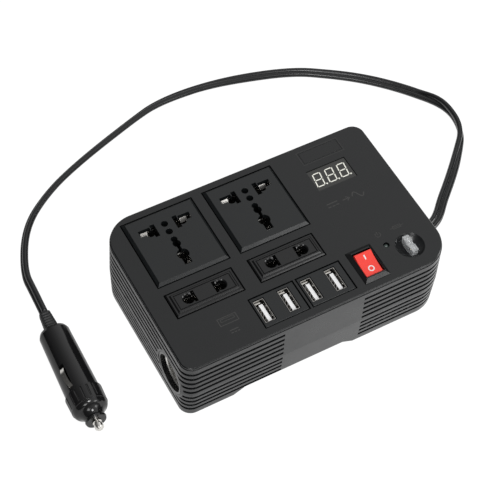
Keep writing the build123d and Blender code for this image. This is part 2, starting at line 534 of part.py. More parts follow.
def cooling_fan():
    """Square fan frame with its hub and pin, and the seven-bladed rotor."""
    back = CASE_D / 2 - WALL - 0.05
    front = back - FAN_T
    low, half = FAN_Z - FAN_SIZE / 2, FAN_SIZE / 2
    frame = block(FAN_X - half, FAN_X + half, front, back, low, low + FAN_SIZE)
    frame = fillet(frame.edges().filter_by(Axis.Y), 2.5)
    frame -= rod_y(FAN_X, front + 1.6, back + 1, FAN_Z, FAN_R + 0.6)
    frame -= rod_y(FAN_X, front - 1, back, FAN_Z, FAN_R + 0.6)
    hub = rod_y(FAN_X, front, front + 1.4, FAN_Z, 6.0)
    for angle in (30, 150, 270):
        arm = Box(FAN_R - 3, 1.4, 2.0)
        arm = Pos(FAN_X, front + 0.7, FAN_Z) * Rot(0, angle, 0) * Pos(FAN_R / 2 + 2.6, 0, 0) * arm
        hub += arm
    pin = rod_y(FAN_X, front + 1.3, front + 5.6, FAN_Z, FAN_PIN_R)
    add("fan_frame", frame + hub + pin)

    cup = rod_y(FAN_X, front + 2.0, back - 0.9, FAN_Z, FAN_HUB_R)
    cup -= rod_y(FAN_X, front + 1.0, front + 6.6, FAN_Z, FAN_PIN_R + 0.05)
    blade = Pos(0, 0, 10.6) * Rot(0, 0, 38) * Box(7.4, 0.9, 8.4)
    middle = (front + 2.0 + back - 0.9) / 2
    rotor = cup
    for n in range(FAN_BLADES):
        rotor += Pos(FAN_X, middle, FAN_Z) * Rot(0, n * 360 / FAN_BLADES, 0) * blade
    rotor &= rod_y(FAN_X, front + 1.9, back - 0.8, FAN_Z, FAN_R)
    add("fan_rotor", rotor)


# ---------------------------------------------------------------- cable and plug
def plug_frame():
    """Frame of the plug: z runs along it from the cable to the tip, y points up."""
    heading, tilt = radians(PLUG_HEADING), radians(PLUG_TILT)
    along = Vector(-sin(heading) * cos(tilt), -cos(heading) * cos(tilt), sin(tilt))
    side = Vector(cos(heading), -sin(heading), 0)
    return Plane(origin=(PLUG_X, PLUG_Y, PLUG_Z), x_dir=side, z_dir=along)


def turned(points):
    """Solid of revolution about local Z from (radius, z) points."""
    return revolve(Plane.XZ * make_face(Polyline(*points, close=True)), Axis.Z)


def exit_frame():
    """Frame of the bent outer part of the cable relief: z runs out along the cable."""
    yaw, drop = radians(EXIT_YAW), radians(EXIT_DROP)
    along = Vector(cos(yaw) * cos(drop), sin(yaw) * cos(drop), -sin(drop))
    return Plane(origin=(CASE_W / 2, EXIT_Y, EXIT_Z), x_dir=(-sin(yaw), cos(yaw), 0), z_dir=along)


def cable_relief():
    """Tapered grommet on the right side, which holds the cable."""
    inside = turned([(0, -4.5), (5.6, -4.5), (5.6, -2.8), (3.9, -2.8), (3.9, 0.75),
                     (5.6, 0.75), (5.6, 3.4), (5.3, 3.7), (0, 3.7)])
    cone = turned([(0, 2.4), (5.1, 2.4), (5.0, 3.4), (3.7, RELIEF_OUT), (0, RELIEF_OUT)])
    for n in range(4):
        cone -= Pos(0, 0, 4.0 + 1.6 * n) * (Cylinder(7, 0.6) - Cylinder(3.9 - 0.1 * n, 1))
    through_wall = Pos(CASE_W / 2, EXIT_Y, EXIT_Z) * Rot(0, 90, 0) * inside
    add("cable_relief", through_wall + exit_frame().location * cone)


def cable():
    """The free lead, from its relief to the plug, as straight runs joined by arcs."""
    exit_point = exit_frame().origin + exit_frame().z_dir * (RELIEF_OUT + 0.02)
    points = [exit_point] + [Vector(*p) for p in ROUTE] + [plug_frame().origin]
    runs = [(b - a).length for a, b in zip(points, points[1:])]
    radii = []
    for n in range(1, len(points) - 1):
        before, after = points[n] - points[n - 1], points[n + 1] - points[n]
        half_turn = radians(before.get_angle(after)) / 2
        radii.append(0.45 * min(runs[n - 1], runs[n]) / tan(half_turn))
    path = FilletPolyline(*points, radius=radii)
    start = Plane(origin=path @ 0, z_dir=path % 0)
    tube = sweep(start * Circle(CABLE_D / 2), path=path)
    add("power_cable", tube)
    print("cable from", exit_point, "to", plug_frame().origin, "plug axis", plug_frame().z_dir)
    print("cable runs", [round(r, 1) for r in runs])
    print("cable radii", [round(r, 1) for r in radii], "length", round(path.length, 1))
    print("volume ratio", round(tube.volume / (pi * CABLE_D ** 2 / 4 * path.length), 4))


def plug():
    """Lighter plug: relief, hollow body, side contacts, nose ring, tip pin, fuse and spring."""
    frame = plug_frame().location
    body_end = RING_START
    relief = turned([(0, 0.05), (3.7, 0.05), (4.6, RELIEF_L), (0, RELIEF_L)])
    for n in range(5):
        relief -= Pos(0, 0, 1.9 + 2.0 * n) * (Cylinder(7, 0.7) - Cylinder(3.3 + 0.15 * n, 1))
    add("plug_relief", frame * relief)

    wall_r = BODY_R_REAR - SHOULDER
    hull = turned([(0, RELIEF_L + 0.02), (wall_r, RELIEF_L + 0.02),
                   (BODY_R_REAR - 0.7, RELIEF_L + 0.72), (BODY_R_REAR, RELIEF_L + SHOULDER),
                   (BODY_R_FRONT, body_end), (0, body_end)])
    hull -= turned([(0, BORE_START), (BORE_R, BORE_START), (BORE_R, body_end + 1), (0, body_end + 1)])
    window_z0, window_z1 = body_end - 17.0, body_end - 1.6
    roll = Rot(0, 0, CONTACT_ROLL)
    window = Pos(0, 0, (window_z0 + window_z1) / 2) * Box(3.2, 30, window_z1 - window_z0)
    hull -= roll * window
    add("plug_body", frame * hull)

    bow = ThreePointArc((7.6, window_z0 + 0.8), (BODY_R_FRONT + 1.5, window_z0 + 7.8),
                        (7.6, window_z1 - 0.8))
    inner = ThreePointArc((7.6, window_z1 - 0.8), (BODY_R_FRONT + 0.9, window_z0 + 7.8),
                          (7.6, window_z0 + 0.8))
    strip = extrude(Plane.YZ * Pos(0, 0, -CONTACT_W / 2) * make_face(Curve() + [bow, inner]), CONTACT_W)
    for name, turn in (("upper", 0), ("lower", 180)):
        add(f"plug_contact_{name}", frame * Rot(0, 0, CONTACT_ROLL + turn) * strip)

    rim = body_end + RING_L
    nose_end = rim + NOSE_L
    outside = [Line((6.3, body_end + 0.05), (RING_R, body_end + 0.05)),
               Line((RING_R, body_end + 0.05), (RING_R - 0.25, rim)),
               Line((RING_R - 0.25, rim), (RING_R - 0.5, rim + 0.15)),
               ThreePointArc((RING_R - 0.5, rim + 0.15), (RING_R - 0.85, rim + 1.4), (8.3, rim + 2.6)),
               ThreePointArc((8.3, rim + 2.6), (6.35, rim + 4.3), (NOSE_R - 0.5, rim + 6.6)),
               Line((NOSE_R - 0.5, rim + 6.6), (NOSE_R, nose_end - 1.0)),
               Line((NOSE_R, nose_end - 1.0), (NOSE_R - 0.4, nose_end))]
    inside = Polyline((NOSE_R - 0.4, nose_end), (2.6, nose_end), (2.6, SEAT + 3.2), (4.7, SEAT + 2.2),
                      (4.7, SEAT - 2.0), (6.3, SEAT - 2.0), (6.3, body_end + 0.05))
    ring = revolve(Plane.XZ * make_face(Curve() + outside + [inside]), Axis.Z)
    for n in range(RING_RIBS):
        ring -= Rot(0, 0, n * 360 / RING_RIBS) * Pos(RING_R + 0.2, 0, body_end + 4.2) * Cylinder(0.6, 7)
    add("plug_nose_ring", frame * ring)

    tip = nose_end + PIN_OUT
    pin = turned([(0, SEAT - 1.8), (4.4, SEAT - 1.8), (4.4, SEAT + 1.6),
                  (PIN_R, SEAT + 2.6), (PIN_R, tip - 4.6), (PIN_NECK_R, tip - 4.2), (PIN_NECK_R, tip - 3.4),
                  (PIN_R, tip - 3.0), (PIN_R, tip - 1.2), (1.5, tip - 0.2), (0, tip)])
    add("plug_tip_pin", frame * pin)
    glass = turned([(0, SEAT - 22), (3.0, SEAT - 22), (3.0, SEAT - 7), (0, SEAT - 7)])
    caps = [turned([(0, z), (3.2, z), (3.2, z + 5), (0, z + 5)])
            for z in (SEAT - 27.02, SEAT - 6.98)]
    add("plug_fuse_glass", frame * glass)
    add("plug_fuse_caps", *[frame * cap for cap in caps])
    coil_start = BORE_START + 5.0
    coil_l = SEAT - 27.5 - coil_start
    wire = Helix(pitch=coil_l / 5, height=coil_l, radius=2.3)
    spring = sweep(Plane(origin=wire @ 0, z_dir=wire % 0) * Circle(0.35), path=wire)
    add("plug_spring", frame * Pos(0, 0, coil_start) * spring)


# ---------------------------------------------------------------- build
upper_cover()
lower_housing()
case_hardware()
for SIDE in OUTLET_X:
    universal_outlet(SIDE)
    two_pin_outlet(SIDE)
usb_outlets()
power_switch()
power_lamp()
blade_fuse()
display()
lighter_socket()
main_board()
power_stage()
cooling_fan()
cable_relief()
cable()
plug()

os.makedirs("parts", exist_ok=True)
for node, shape in NODES.items():
    export_step(shape, f"parts/{node}.step")
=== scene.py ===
"""Looks of the power inverter: its lead, materials, printed marks and small fittings, on the CAD frame.

Lengths are metres unless a name or comment says millimetres. The origin is under the middle of the case,
+X to the right, +Y to the back and +Z up.
"""
import json
from math import acos, cos, pi, radians, sin

import bmesh
import bpy
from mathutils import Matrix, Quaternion, Vector
from mathutils.bvhtree import BVHTree


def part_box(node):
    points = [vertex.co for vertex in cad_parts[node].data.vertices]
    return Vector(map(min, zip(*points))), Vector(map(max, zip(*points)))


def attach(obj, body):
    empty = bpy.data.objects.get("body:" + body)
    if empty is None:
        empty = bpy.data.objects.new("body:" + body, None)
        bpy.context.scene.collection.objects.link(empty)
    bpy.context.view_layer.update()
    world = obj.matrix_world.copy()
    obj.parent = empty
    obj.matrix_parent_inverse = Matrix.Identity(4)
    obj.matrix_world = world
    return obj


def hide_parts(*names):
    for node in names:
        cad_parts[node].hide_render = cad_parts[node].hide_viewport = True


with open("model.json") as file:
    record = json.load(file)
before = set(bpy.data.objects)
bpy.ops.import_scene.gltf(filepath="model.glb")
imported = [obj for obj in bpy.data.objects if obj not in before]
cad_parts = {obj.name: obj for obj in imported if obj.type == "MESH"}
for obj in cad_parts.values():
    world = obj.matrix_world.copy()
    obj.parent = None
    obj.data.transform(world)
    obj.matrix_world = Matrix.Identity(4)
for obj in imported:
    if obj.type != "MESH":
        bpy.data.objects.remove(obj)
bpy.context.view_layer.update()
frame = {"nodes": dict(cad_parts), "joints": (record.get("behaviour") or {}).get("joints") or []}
scene = bpy.context.scene
MM = 0.001


def mm(*numbers):
    """A vector given in millimetres."""
    return Vector(numbers) * MM


# ---------------------------------------------------------------- camera
CAMERA_AT = mm(-257.7, -374.8, 680.5)
CAMERA_AIM = mm(-7.1, 14.2, 22.5)
CAMERA_ROLL = 4.74      # degrees
CAMERA_LENS = 107.05    # millimetres, on a 36 mm sensor

camera = bpy.data.objects.new("camera", bpy.data.cameras.new("camera"))
scene.collection.objects.link(camera)
scene.camera = camera
camera.location = CAMERA_AT
camera.rotation_mode = "QUATERNION"
camera.rotation_quaternion = ((CAMERA_AIM - CAMERA_AT).to_track_quat("-Z", "Y")
                              @ Quaternion((0, 0, 1), radians(CAMERA_ROLL)))
camera.data.lens = CAMERA_LENS
camera.data.sensor_width = 36.0
camera.data.clip_start = 0.01
camera.data.clip_end = 20.0
scene.view_settings.view_transform = "Standard"


# ---------------------------------------------------------------- materials
def shader(name):
    """A new material and its principled shader."""
    made = bpy.data.materials.new(name)
    made.use_nodes = True
    return made, made.node_tree.nodes["Principled BSDF"]


def noise(nodes, links, vector, scale, detail):
    """The output of a noise texture read along a vector."""
    texture = nodes.new("ShaderNodeTexNoise")
    texture.inputs["Scale"].default_value = scale
    texture.inputs["Detail"].default_value = detail
    links.new(vector, texture.inputs["Vector"])
    return texture.outputs["Fac"]


def ranged(nodes, links, value, source, target):
    """The output of a node that maps a value from one (low, high) range to another."""
    mapped = nodes.new("ShaderNodeMapRange")
    for side, edges in (("From", source), ("To", target)):
        mapped.inputs[side + " Min"].default_value = edges[0]
        mapped.inputs[side + " Max"].default_value = edges[1]
    links.new(value, mapped.inputs["Value"])
    return mapped.outputs["Result"]


BROAD_SCALE = 0.09          # patches of colour and gloss, per millimetre
NOISE_SPAN = (0.3, 0.7)     # where most of the noise's values lie


def surface(name, colour, roughness, metallic=0.0, mottle=0.12, unevenness=0.05, grain_mm=0.35,
            grain_depth=0.006, edge_mm=0.0, stretch=(1.0, 1.0, 1.0)):
    """Mottled colour, uneven gloss and a fine grain; edge_mm rounds the look of sharp edges."""
    made, principled = shader(name)
    nodes, links = made.node_tree.nodes, made.node_tree.links
    coords = nodes.new("ShaderNodeTexCoord")
    scale = nodes.new("ShaderNodeMapping")
    scale.inputs["Scale"].default_value = [s / MM for s in stretch]
    links.new(coords.outputs["Object"], scale.inputs["Vector"])

    broad = noise(nodes, links, scale.outputs["Vector"], BROAD_SCALE, 4.0)
    fine = noise(nodes, links, scale.outputs["Vector"], 1.0 / grain_mm, 2.0)

    tint = nodes.new("ShaderNodeMix")
    tint.data_type = "RGBA"
    tint.inputs["A"].default_value = (*[c * (1 - mottle) for c in colour], 1)
    tint.inputs["B"].default_value = (*[min(1, c * (1 + mottle)) for c in colour], 1)
    links.new(broad, tint.inputs["Factor"])
    links.new(tint.outputs["Result"], principled.inputs["Base Color"])

    gloss = (max(0.02, roughness - unevenness), roughness + unevenness)
    links.new(ranged(nodes, links, broad, NOISE_SPAN, gloss), principled.inputs["Roughness"])

    bump = nodes.new("ShaderNodeBump")
    bump.inputs["Strength"].default_value = 1.0
    bump.inputs["Distance"].default_value = grain_depth * MM
    links.new(fine, bump.inputs["Height"])
    links.new(bump.outputs["Normal"], principled.inputs["Normal"])
    if edge_mm:
        rounding = nodes.new("ShaderNodeBevel")
        rounding.samples = 6
        rounding.inputs["Radius"].default_value = edge_mm * MM
        links.new(rounding.outputs["Normal"], bump.inputs["Normal"])
    principled.inputs["Metallic"].default_value = metallic
    return made


def clear(name, colour, roughness, refraction, clarity, grain_depth=0.01):
    """Clear moulded plastic, glass or epoxy; clarity is the share of light that it lets through."""
    made = surface(name, colour, roughness, mottle=0.02, unevenness=0.02, grain_mm=1.5,
                   grain_depth=grain_depth)
    principled = made.node_tree.nodes["Principled BSDF"]
    principled.inputs["Transmission Weight"].default_value = clarity
    principled.inputs["IOR"].default_value = refraction
    return made


def glowing(name, colour, strength):
    """A milky diffuser that looks lit."""
    made = surface(name, colour, 0.45, mottle=0.03)
    principled = made.node_tree.nodes["Principled BSDF"]
    principled.inputs["Emission Color"].default_value = (*colour, 1)
    principled.inputs["Emission Strength"].default_value = strength
    return made


CASE = surface("case plastic", (0.0080, 0.0088, 0.0095), 0.30, grain_mm=0.30, grain_depth=0.002, edge_mm=0.14)
OUTLET = surface("outlet plastic", (0.0085, 0.0100, 0.0108), 0.31, grain_mm=0.25, grain_depth=0.002,
                 edge_mm=0.18)
SWITCH = surface("switch plastic", (0.0065, 0.0068, 0.0072), 0.24, grain_mm=0.5, grain_depth=0.002,
                 edge_mm=0.18)
ROCKER = surface("rocker red", (1.0, 0.060, 0.042), 0.22, mottle=0.04, grain_mm=0.6, grain_depth=0.003)
RUBBER = surface("rubber", (0.014, 0.014, 0.014), 0.62, grain_mm=0.3, grain_depth=0.01, edge_mm=0.15)
JACKET = surface("cable jacket", (0.0075, 0.0080, 0.0088), 0.27, grain_mm=0.8, grain_depth=0.008)
PLUG = surface("plug plastic", (0.0085, 0.0085, 0.0090), 0.13, unevenness=0.03, grain_mm=1.2,
               grain_depth=0.002, edge_mm=0.15)
RELIEF = surface("relief plastic", (0.013, 0.0135, 0.0140), 0.45, grain_mm=0.4, grain_depth=0.006)
NICKEL = surface("nickel plate", (0.82, 0.80, 0.76), 0.20, metallic=1.0, mottle=0.04, unevenness=0.04,
                 grain_mm=0.5, grain_depth=0.002)
SATIN_NICKEL = surface("satin nickel", (0.86, 0.85, 0.82), 0.38, metallic=1.0, mottle=0.05, grain_mm=0.3,
                       grain_depth=0.003)
DARK_NICKEL = surface("dark nickel", (0.42, 0.41, 0.39), 0.26, metallic=1.0, mottle=0.08, grain_mm=0.3,
                      grain_depth=0.003, edge_mm=0.12)
STEEL = surface("zinc plated steel", (0.58, 0.58, 0.60), 0.30, metallic=1.0, grain_mm=0.3, grain_depth=0.004)
BRASS = surface("brass", (0.80, 0.60, 0.28), 0.25, metallic=1.0, grain_mm=0.3, grain_depth=0.003)
# Painted shade: the USB contacts get a dark, dull gold colour that stands in for the shade inside the ports.
CONTACT = surface("contact strip", (0.24, 0.20, 0.13), 0.30, metallic=1.0, grain_mm=0.3, grain_depth=0.002)
BOARD = surface("solder mask", (0.010, 0.085, 0.032), 0.32, mottle=0.2, grain_mm=0.8, grain_depth=0.01)
TONGUE = surface("white insulator", (0.97, 0.97, 0.98), 0.30, mottle=0.03, grain_mm=0.4, grain_depth=0.003)
FACE = surface("display face", (0.038, 0.038, 0.036), 0.20, mottle=0.08, grain_mm=0.6, grain_depth=0.002)
SEGMENT = glowing("display segment", (0.80, 0.80, 0.72), 0.25)
FERRITE = surface("ferrite", (0.035, 0.035, 0.038), 0.70, mottle=0.3, grain_mm=0.4, grain_depth=0.03)
TAPE = surface("winding tape", (0.62, 0.42, 0.04), 0.35, mottle=0.15, grain_mm=0.6, grain_depth=0.02)
SLEEVING = surface("capacitor sleeve", (0.012, 0.016, 0.050), 0.28, grain_mm=0.8, grain_depth=0.006)
ALUMINIUM = surface("aluminium", (0.72, 0.73, 0.74), 0.35, metallic=1.0, grain_mm=0.3, grain_depth=0.006,
                    stretch=(1.0, 1.0, 0.06))
EPOXY = surface("moulded epoxy", (0.016, 0.016, 0.016), 0.55, grain_mm=0.25, grain_depth=0.012)
FUSE_PLASTIC = clear("clear fuse body", (0.95, 0.97, 0.98), 0.05, 1.58, 0.60, grain_depth=0.9)
LAMP = clear("lamp epoxy", (0.10, 0.13, 0.12), 0.10, 1.5, 0.30)
FUSE_GLASS = clear("fuse glass", (0.93, 0.97, 0.96), 0.03, 1.5, 1.0)
PRINT = surface("grey print", (0.044, 0.043, 0.042), 0.50, mottle=0.15, grain_mm=0.25, grain_depth=0.003)
WHITE_PRINT = surface("white print", (0.86, 0.84, 0.83), 0.40, mottle=0.04, grain_mm=0.3, grain_depth=0.003)

FINISHES = {
    CASE: ["upper_cover", "lower_housing"],
    OUTLET: ["universal_outlet_left", "universal_outlet_right", "usb_panel_left", "usb_panel_right"],
    SWITCH: ["switch_housing", "two_pin_outlet_left", "two_pin_outlet_right", "socket_bezel", "fan_frame",
             "fan_rotor"],
    ROCKER: ["rocker"],
    RUBBER: ["rubber_feet", "cable_relief"],
    JACKET: ["power_cable"],
    PLUG: ["plug_body", "plug_nose_ring"],
    RELIEF: ["plug_relief"],
    NICKEL: ["fuse_blades", "plug_contact_upper", "plug_contact_lower", "plug_tip_pin", "plug_fuse_caps"],
    SATIN_NICKEL: ["socket_sleeve"],
    DARK_NICKEL: ["usb_shells", "universal_contacts_left", "universal_contacts_right",
                  "two_pin_contacts_left", "two_pin_contacts_right"],
    STEEL: ["case_screws", "transistor_tabs", "plug_spring"],
    BRASS: ["switch_terminals", "fuse_clips", "socket_centre_contact"],
    BOARD: ["main_board", "usb_board", "display_board"],
    TONGUE: ["usb_tongues", "socket_insulator"],
    FACE: ["display_module"],
    SEGMENT: ["display_segments"],
    FERRITE: ["transformer_core", "choke"],
    TAPE: ["transformer_coil"],
    SLEEVING: ["capacitors"],
    ALUMINIUM: ["heat_sink"],
    EPOXY: ["transistor_packages", "fuse_holder", "board_spacers"],
    FUSE_PLASTIC: ["fuse_body"],
    LAMP: ["power_lamp"],
    FUSE_GLASS: ["plug_fuse_glass"],
}
for finish, names in FINISHES.items():
    for node in names:
        data = frame["nodes"][node].data
        data.materials.clear()
        data.materials.append(finish)


def rounded(piece, width_mm, segments=2):
    """Round a piece's sharp edges with a modifier."""
    bevel = piece.modifiers.new("edges", "BEVEL")
    bevel.width = width_mm * MM
    bevel.segments = segments


rounded(frame["nodes"]["fuse_body"], 0.35, segments=3)


# ---------------------------------------------------------------- mesh helpers
def mesh_piece(name, points, faces, material, body="root", smooth=False):
    """A mesh object that rides on a body."""
    data = bpy.data.meshes.new(name)
    data.from_pydata([tuple(p) for p in points], [], faces)
    data.validate()
    data.materials.append(material)
    for polygon in data.polygons:
        polygon.use_smooth = smooth
    piece = bpy.data.objects.new(name, data)
    scene.collection.objects.link(piece)
    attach(piece, body)
    return piece


def skin(rings):
    """Points and faces of a tube, closed at both ends, through rings with the same number of points."""
    count = len(rings[0])
    points = [p for ring in rings for p in ring]
    faces = []
    for row in range(len(rings) - 1):
        for n in range(count):
            a, b = row * count + n, row * count + (n + 1) % count
            faces.append((a, b, b + count, a + count))
    faces.append(tuple(reversed(range(count))))
    faces.append(tuple(range(len(points) - count, len(points))))
    return points, faces


def solids_of(node):
    """Lowest and highest corner of each separate solid in a CAD node, from left to right."""
    work = bmesh.new()
    work.from_mesh(frame["nodes"][node].data)
    bmesh.ops.remove_doubles(work, verts=work.verts, dist=1e-6)
    left, boxes = set(work.verts), []
    while left:
        island, queue = [], [left.pop()]
        while queue:
            vertex = queue.pop()
            island.append(vertex.co)
            for edge in vertex.link_edges:
                other = edge.other_vert(vertex)
                if other in left:
                    left.remove(other)
                    queue.append(other)
        boxes.append((Vector([min(c[k] for c in island) for k in range(3)]),
                      Vector([max(c[k] for c in island) for k in range(3)])))
    work.free()
    return sorted(boxes, key=lambda box: box[0].x)


# ---------------------------------------------------------------- cable
# Control points in millimetres: the CAD tube's route, lowered where the lead lies flat.
LEAD_ROUTE = [
    (90.25, -12.77, 11.97), (97.8, -10.0, 10.85), (104.4, -5.6, 9.95), (112.4, 2.5, 8.9), (121.0, 10.0, 7.6),
    (131.5, 19.6, 5.4), (141.5, 29.5, 3.7), (156.0, 45.3, 3.3), (157.3, 67.5, 2.6), (143.1, 87.3, 1.8),
    (126.5, 104.7, 1.7), (109.5, 118.0, 1.7), (86.5, 132.3, 1.7), (42.5, 143.8, 1.9), (4.6, 145.4, 2.6),
    (-20.0, 138.0, 3.0), (-57.5, 124.7, 3.1), (-82.4, 113.2, 3.1), (-104.1, 96.4, 3.1), (-117.5, 68.5, 3.9),
    (-118.6, 51.2, 7.18), (-119.4, 36.2, 7.79),
]
CORE_R, CORE_OFFSET = 1.66 * MM, 1.58 * MM       # two round cores, moulded side by side
# Share of the length, and how far the wide side leans from lying flat, in degrees.
LEAD_TWIST = [(0.0, -10), (0.10, -14), (0.21, -84), (0.27, -168), (0.47, -186), (0.57, -208), (0.67, -231),
              (0.84, -238), (0.90, -246), (1.0, -250)]


def spline_points(points):
    """Points read along the NURBS spline that these control points make."""
    data = bpy.data.curves.new("route", "CURVE")
    data.dimensions = "3D"
    data.resolution_u = 20
    spline = data.splines.new("NURBS")
    spline.points.add(len(points) - 1)
    for slot, point in zip(spline.points, points):
        slot.co = (*point, 1.0)
    spline.order_u = 3
    spline.use_endpoint_u = True
    holder = bpy.data.objects.new("route", data)
    scene.collection.objects.link(holder)
    line = bpy.data.meshes.new_from_object(holder)
    found = [vertex.co.copy() for vertex in line.vertices]
    bpy.data.objects.remove(holder)
    return found


def lead_outline():
    """Figure-eight section of the twin lead, as (along the wide side, across it) pairs."""
    open_angle = pi - acos(CORE_OFFSET / CORE_R)
    steps = 13
    half = []
    for n in range(steps):
        angle = -open_angle + 2 * open_angle * n / (steps - 1)
        half.append((CORE_OFFSET + CORE_R * cos(angle), CORE_R * sin(angle)))
    return half + [(-x, -y) for x, y in half[1:-1]]


def twist_at(share):
    """Lean of the lead's wide side at a share of its length, in radians."""
    for (s0, a0), (s1, a1) in zip(LEAD_TWIST, LEAD_TWIST[1:]):
        if share <= s1:
            t = (share - s0) / (s1 - s0)
            return radians(a0 + (a1 - a0) * t * t * (3 - 2 * t))
    return radians(LEAD_TWIST[-1][1])


def twin_lead():
    """The flat twin lead, from the case to the plug, and the line it follows."""
    line = spline_points([mm(*p) for p in LEAD_ROUTE])
    reached = [0.0]
    for a, b in zip(line, line[1:]):
        reached.append(reached[-1] + (b - a).length)
    outline = lead_outline()
    centres, rings = [], []
    for n, point in enumerate(line):
        along = (line[min(n + 1, len(line) - 1)] - line[max(n - 1, 0)]).normalized()
        lean = twist_at(reached[n] / reached[-1])
        flat = along.cross(Vector((0, 0, 1))).normalized()
        upright = flat.cross(along).normalized()
        wide = flat * cos(lean) + upright * sin(lean)
        thin = wide.cross(along).normalized()
        lowest = CORE_R + CORE_OFFSET * abs(sin(lean)) + 0.1 * MM
        centre = Vector((point.x, point.y, max(point.z, lowest)))
        centres.append(centre)
        rings.append([centre + wide * x + thin * y for x, y in outline])
    points, faces = skin(rings)
    piece = mesh_piece("twin_lead", points, faces, JACKET, smooth=True)
    return piece, centres


lead, lead_line = twin_lead()
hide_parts("power_cable")


# ---------------------------------------------------------------- plug's strain relief
def plug_axes():
    """The plug's rear point and its directions along, sideways and up, from its joint's axis."""
    joint = next(j for j in frame["joints"] if j["name"] == "nose_ring_unscrew")
    along = Vector(joint["axis"]).normalized()
    rear = mm(*LEAD_ROUTE[-1])
    side = along.cross(Vector((0, 0, 1))).normalized()
    return rear, along, side, side.cross(along).normalized()


RELIEF_START, RELIEF_LENGTH = 0.1 * MM, 12.3 * MM
RIB_GROOVES, RIB_DEPTH = 7.0, 0.45 * MM
RIBBED_FROM, RIBBED_TO = 0.12, 0.92     # shares of the length
REAR_HALF_W, REAR_HALF_H = 3.1, 3.4     # millimetres, at the lead
GROWTH_W, GROWTH_H = 0.9, 0.8           # millimetres, from the lead to the plug's body
SQUARENESS = 4.0                        # 2 makes a section oval, and more makes it squarer


def relief_section(share, ease):
    """Sideways and upward offsets round the relief, at a share of its length."""
    rib, around = 0.0, 40
    if RIBBED_FROM < share < RIBBED_TO:
        rib = RIB_DEPTH * max(0.0, sin(2 * pi * share * RIB_GROOVES)) ** 0.6
    half_w = ((REAR_HALF_W + GROWTH_W * share) * MM * ease) - rib
    half_h = ((REAR_HALF_H + GROWTH_H * share) * MM * ease) - rib
    offsets = []
    for k in range(around):
        angle = 2 * pi * k / around
        c, s = cos(angle), sin(angle)
        size = (abs(c) ** SQUARENESS + abs(s) ** SQUARENESS) ** (-1 / SQUARENESS)
        offsets.append((half_w * c * size, half_h * s * size))
    return offsets


def strain_relief():
    """Ribbed block between the lead and the plug's body, wider towards the body."""
    rear, along, side, up = plug_axes()
    steps, rounded_steps, rear_size = 72, 3, 0.65
    rings = []
    for n in range(steps + 1):
        share = n / steps
        ease = min(1.0, n / rounded_steps) * (1 - rear_size) + rear_size
        centre = rear + along * (RELIEF_START + RELIEF_LENGTH * share)
        rings.append([centre + side * x + up * y for x, y in relief_section(share, ease)])
    points, faces = skin(rings)
    piece = mesh_piece("plug_relief_ribbed", points, faces, RELIEF, smooth=True)
    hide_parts("plug_relief")
    return piece


relief = strain_relief()


# ---------------------------------------------------------------- printed marks
def ribbon(points, width, closed=False):
    """Quads of a flat stroke along plan points in millimetres, mitred at its corners."""
    count = len(points)
    edge = []
    for n in range(count):
        before = points[n - 1] if closed or n else points[n]
        after = points[(n + 1) % count] if closed or n < count - 1 else points[n]
        here = Vector(points[n])
        into = (here - Vector(before)).normalized()
        out = (Vector(after) - here).normalized()
        into = into if into.length else out
        out = out if out.length else into
        normal = Vector((-(into + out).y, (into + out).x)).normalized()
        stretch = 1 / max(0.4, normal.dot(Vector((-out.y, out.x))))
        edge.append((here + normal * width / 2 * stretch, here - normal * width / 2 * stretch))
    pairs = zip(edge, edge[1:] + edge[:1]) if closed else zip(edge, edge[1:])
    return [(a[0], a[1], b[1], b[0]) for a, b in pairs]


def mark(name, strokes, onto, material, body="root", height=0.03):
    """Ink strokes laid on the top of a CAD node. Each stroke is (points, width, closed), in millimetres."""
    data = frame["nodes"][onto].data
    tree = BVHTree.FromPolygons([v.co for v in data.vertices], [tuple(p.vertices) for p in data.polygons])
    points, faces = [], []
    for stroke in strokes:
        for quad in ribbon(*stroke):
            start = len(points)
            hits = [tree.ray_cast(mm(q.x, q.y, 200), Vector((0, 0, -1)))[0] for q in quad]
            points += [hit + mm(0, 0, height) for hit in hits]
            points += [hit - mm(0, 0, height) for hit in hits]
            top = tuple(range(start, start + 4))
            faces += [top, tuple(k + 4 for k in reversed(top))]
            faces += [(start + k, start + 4 + k, start + 4 + (k + 1) % 4, start + (k + 1) % 4)
                      for k in range(4)]
    piece = mesh_piece(name, points, faces, material, body)
    weld = bmesh.new()
    weld.from_mesh(piece.data)
    bmesh.ops.recalc_face_normals(weld, faces=weld.faces)
    weld.to_mesh(piece.data)
    weld.free()
    return piece


def arc(x, y, r, start=0.0, turn=360.0, steps=24):
    """Plan points on an arc about x, y, from a start angle through a turn, in degrees."""
    return [(x + r * cos(radians(start + turn * n / steps)), y + r * sin(radians(start + turn * n / steps)))
            for n in range(steps + (turn < 360))]


def rectangle(x, y, w, d):
    """Plan corners of a rectangle centred on x, y."""
    return [(x - w / 2, y - d / 2), (x + w / 2, y - d / 2), (x + w / 2, y + d / 2), (x - w / 2, y + d / 2)]


def direct_current(x, y, w, pen):
    """A long bar over three short ones."""
    bars = [([(x - w / 2, y + w * 0.16), (x + w / 2, y + w * 0.16)], pen, False)]
    for n in (-1, 0, 1):
        middle = x + n * w * 0.37
        bars.append(([(middle - w * 0.13, y - w * 0.16), (middle + w * 0.13, y - w * 0.16)], pen, False))
    return bars


